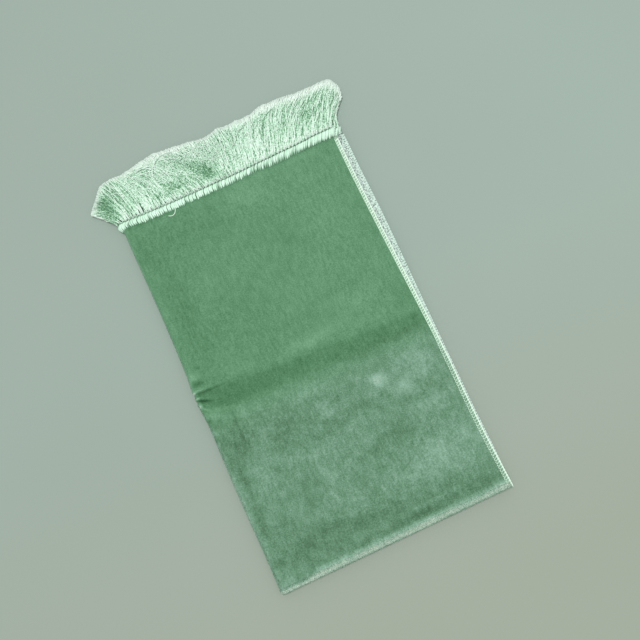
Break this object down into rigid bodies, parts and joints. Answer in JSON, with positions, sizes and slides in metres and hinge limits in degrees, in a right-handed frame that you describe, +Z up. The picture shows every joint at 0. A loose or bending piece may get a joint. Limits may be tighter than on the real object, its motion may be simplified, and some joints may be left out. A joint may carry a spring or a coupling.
{
  "type": "prayer rug",
  "caption": "Plush velvet prayer rug with yarn fringes and overlocked long edges, folded in quarters and lying flat.",
  "frame": {"origin": "middle of the folded rug's outline, fringe included, on the surface it lies on", "axes": "+Y from the cross fold to the fringe, +X from the lengthwise fold to the open edges, +Z up"},
  "size_m": [0.4012, 0.6336, 0.0171],
  "materials": {
    "velvet": "plush velvet pile with a soft sheen",
    "overlock_thread": "matt sewing thread",
    "fringe_yarn": "soft fine yarn"
  },
  "bodies": {
    "root": {"velvet_cloth": "velvet", "overlock_right": "overlock_thread", "overlock_left": "overlock_thread", "fringe_end_a": "fringe_yarn", "fringe_end_b": "fringe_yarn"}
  },
  "joints": []
}
